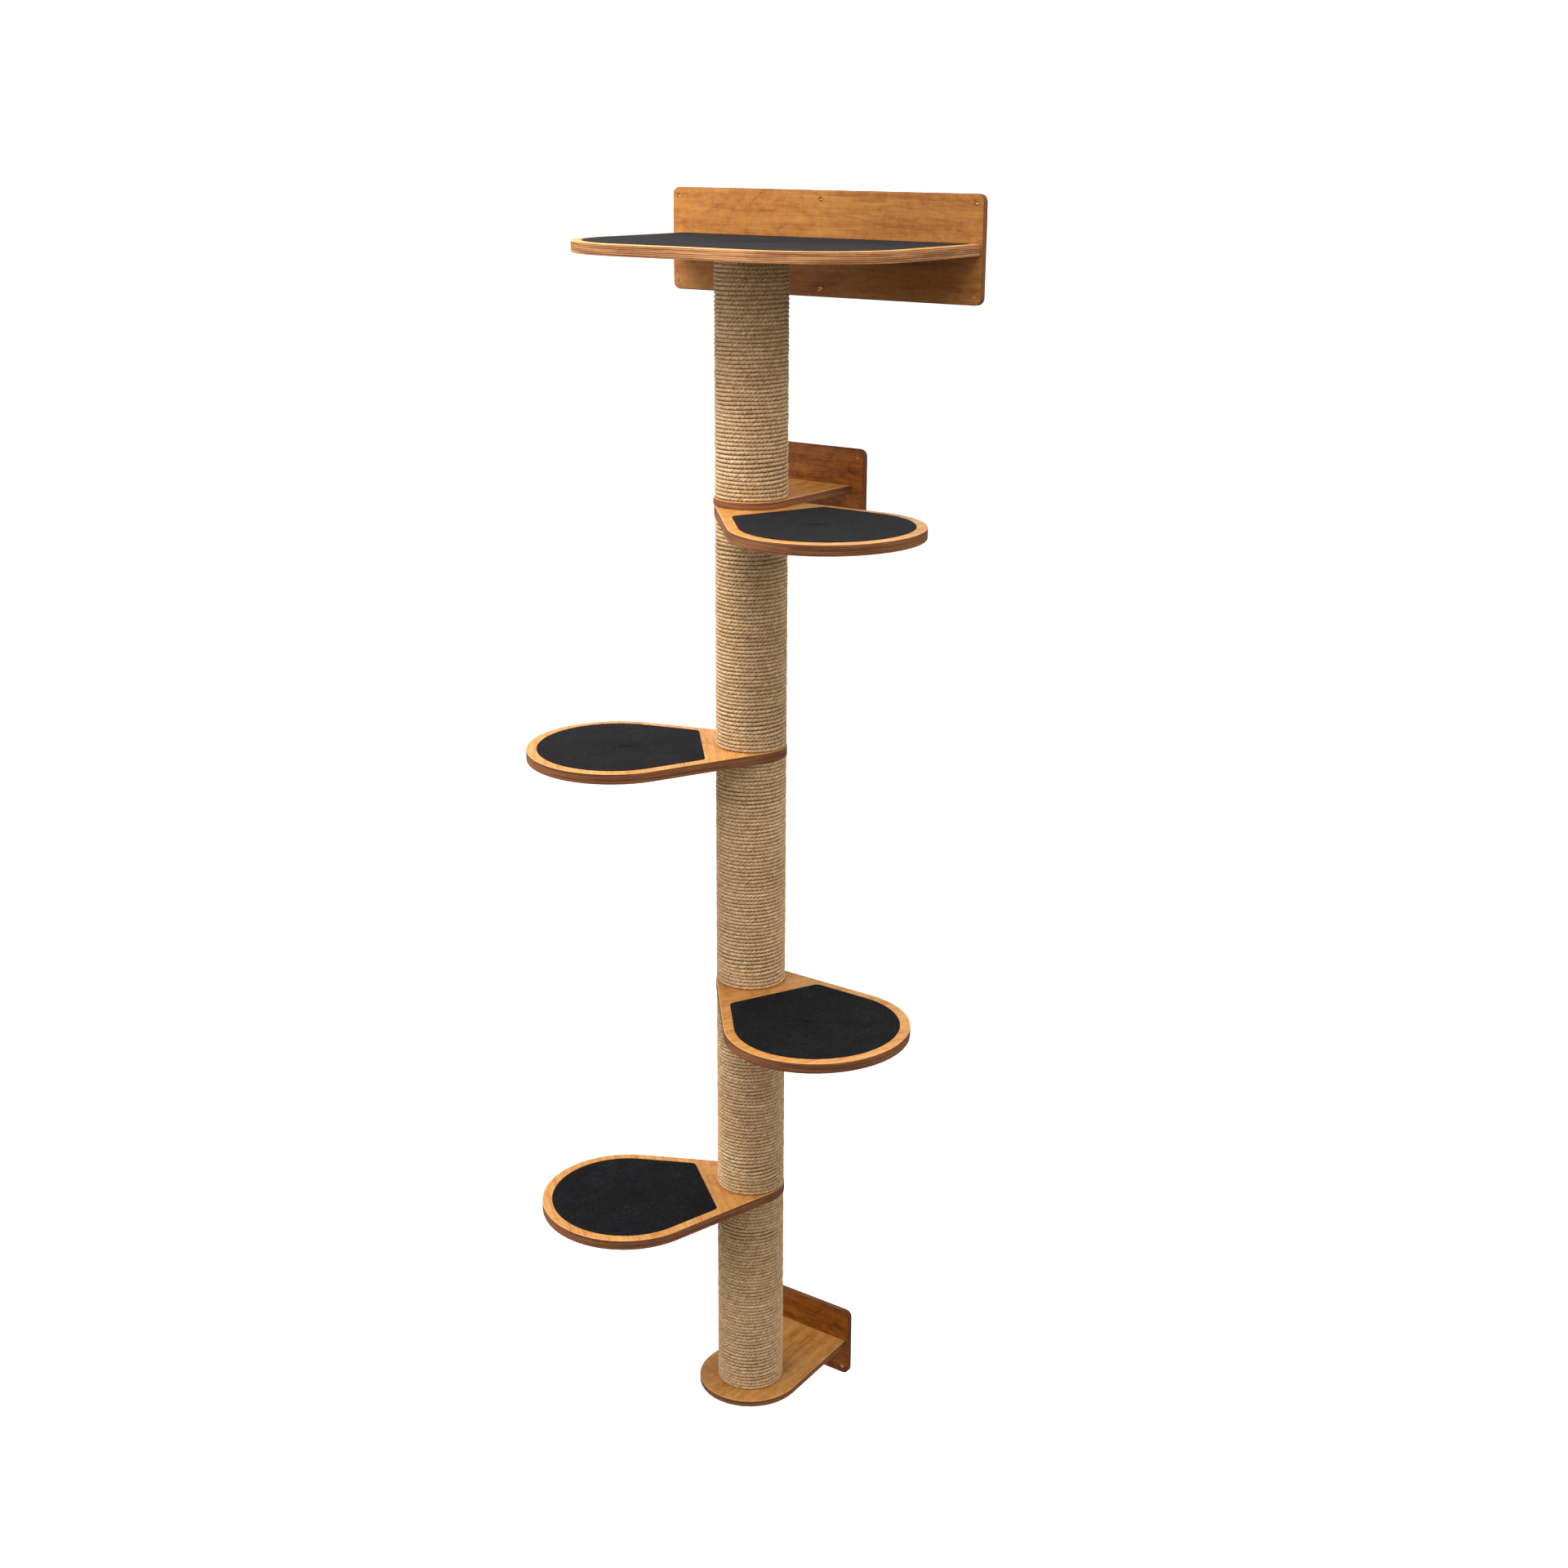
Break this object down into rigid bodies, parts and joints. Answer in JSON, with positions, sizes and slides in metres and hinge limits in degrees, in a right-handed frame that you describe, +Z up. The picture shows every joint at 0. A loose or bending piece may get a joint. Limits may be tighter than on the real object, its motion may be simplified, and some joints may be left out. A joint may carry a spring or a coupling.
{
  "type": "wall-hung cat tree",
  "caption": "Tall rope-wound scratching post on wall brackets, with swinging teardrop steps and a carpeted top shelf for a cat to climb and rest on.",
  "frame": {"origin": "centre of the base wall plate's back face, where it meets the wall", "axes": "+Z up along the post, +Y into the wall, +X to the right when facing the wall"},
  "size_m": [0.6845, 0.5478, 2.1891],
  "materials": {
    "stained_plywood": "satin",
    "jute_rope": "matte",
    "black_carpet": "matte",
    "cardboard_tube": "matte",
    "plug_wood": "matte",
    "zinc_steel": "satin",
    "bronzed_steel": "satin"
  },
  "bodies": {
    "frame": {"base_board": "stained_plywood", "base_bolt": "zinc_steel", "post_1_rope": "jute_rope", "post_1_tube": "cardboard_tube", "post_1_lower_plug": "plug_wood", "post_1_upper_plug": "plug_wood", "stud_1": "zinc_steel", "post_2_rope": "jute_rope", "post_2_tube": "cardboard_tube", "post_2_lower_plug": "plug_wood", "post_2_upper_plug": "plug_wood", "stud_2": "zinc_steel", "post_3_rope": "jute_rope", "post_3_tube": "cardboard_tube", "post_3_lower_plug": "plug_wood", "post_3_upper_plug": "plug_wood", "stud_3": "zinc_steel", "post_4_rope": "jute_rope", "post_4_tube": "cardboard_tube", "post_4_lower_plug": "plug_wood", "post_4_upper_plug": "plug_wood", "stud_4": "zinc_steel", "post_5_rope": "jute_rope", "post_5_tube": "cardboard_tube", "post_5_lower_plug": "plug_wood", "post_5_upper_plug": "plug_wood", "middle_arm": "stained_plywood", "top_shelf": "stained_plywood", "top_shelf_carpet": "black_carpet", "shelf_bolt": "zinc_steel", "top_wall_plate": "stained_plywood", "top_wall_screw_1": "bronzed_steel", "top_wall_screw_2": "bronzed_steel", "top_wall_screw_3": "bronzed_steel", "top_wall_screw_4": "bronzed_steel", "top_wall_screw_5": "bronzed_steel", "top_wall_screw_6": "bronzed_steel", "top_bracket_screw_1": "zinc_steel", "top_bracket_screw_2": "zinc_steel", "top_bracket_screw_3": "zinc_steel", "top_bracket_screw_4": "zinc_steel", "middle_wall_plate": "stained_plywood", "middle_wall_screw_1": "bronzed_steel", "middle_wall_screw_2": "bronzed_steel", "middle_bracket_screw_1": "zinc_steel", "middle_bracket_screw_2": "zinc_steel", "base_wall_plate": "stained_plywood", "base_wall_screw_1": "bronzed_steel", "base_wall_screw_2": "bronzed_steel", "base_bracket_screw_1": "zinc_steel", "base_bracket_screw_2": "zinc_steel"},
    "step_1": {"step_1_board": "stained_plywood", "step_1_carpet": "black_carpet"},
    "step_2": {"step_2_board": "stained_plywood", "step_2_carpet": "black_carpet"},
    "step_3": {"step_3_board": "stained_plywood", "step_3_carpet": "black_carpet"},
    "step_4": {"step_4_board": "stained_plywood", "step_4_carpet": "black_carpet"}
  },
  "joints": [
    {"name": "step_1_swing", "type": "hinge", "parent": "frame", "child": "step_1", "pos_m": [0, -0.202, 0.398], "axis": [0, 0, 1], "range_deg": [-59, 137]},
    {"name": "step_2_swing", "type": "hinge", "parent": "frame", "child": "step_2", "pos_m": [0, -0.202, 0.794], "axis": [0, 0, 1], "range_deg": [-163, 33]},
    {"name": "step_3_swing", "type": "hinge", "parent": "frame", "child": "step_3", "pos_m": [0, -0.202, 1.22], "axis": [0, 0, 1], "range_deg": [-49, 147]},
    {"name": "step_4_swing", "type": "hinge", "parent": "frame", "child": "step_4", "pos_m": [0, -0.202, 1.626], "axis": [0, 0, 1], "range_deg": [-165, 31]}
  ]
}
